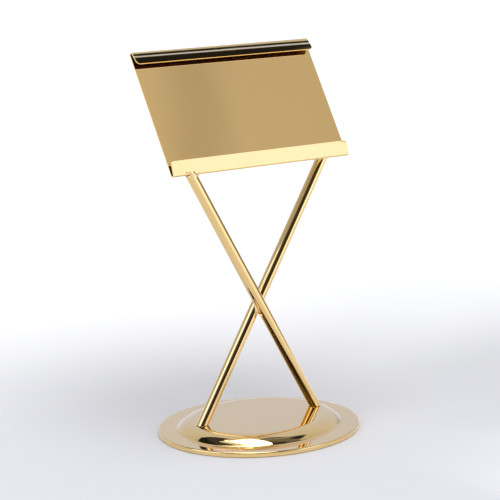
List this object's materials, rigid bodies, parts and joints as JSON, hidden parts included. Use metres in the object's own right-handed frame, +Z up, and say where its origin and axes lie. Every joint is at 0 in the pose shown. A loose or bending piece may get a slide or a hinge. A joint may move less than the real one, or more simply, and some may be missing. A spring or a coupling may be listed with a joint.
{
  "type": "bible stand",
  "caption": "Brass table stand: a sloping plate with a rolled lip along its lower and upper edge, held by two crossed tubes on an oval domed base, to display an open book or card.",
  "frame": {"origin": "on the ground at the middle of the felt under the oval base", "axes": "+Z up, +X along the plate's width to the reader's right, -Y towards the reader, so the plate leans back towards +Y"},
  "size_m": [0.2286, 0.193, 0.4063],
  "materials": {
    "polished_brass": "mirror polished under clear lacquer",
    "braze_metal": "dressed and polished braze, slightly softer than the tube",
    "turned_brass": "as turned",
    "plain_steel": "zinc plated",
    "brown_board": "raw hardboard",
    "black_felt": "pressed wool felt"
  },
  "bodies": {
    "root": {"book_plate": "polished_brass", "front_rod": "polished_brass", "rear_rod": "polished_brass", "base_shell": "polished_brass", "crossing_braze": "braze_metal", "front_rod_braze": "braze_metal", "rear_rod_braze": "braze_metal", "front_rod_plug": "turned_brass", "rear_rod_plug": "turned_brass", "front_rod_screw": "plain_steel", "rear_rod_screw": "plain_steel", "front_rod_washer": "plain_steel", "rear_rod_washer": "plain_steel", "backing_plate": "plain_steel", "bottom_board": "brown_board", "base_felt": "black_felt"}
  },
  "joints": []
}
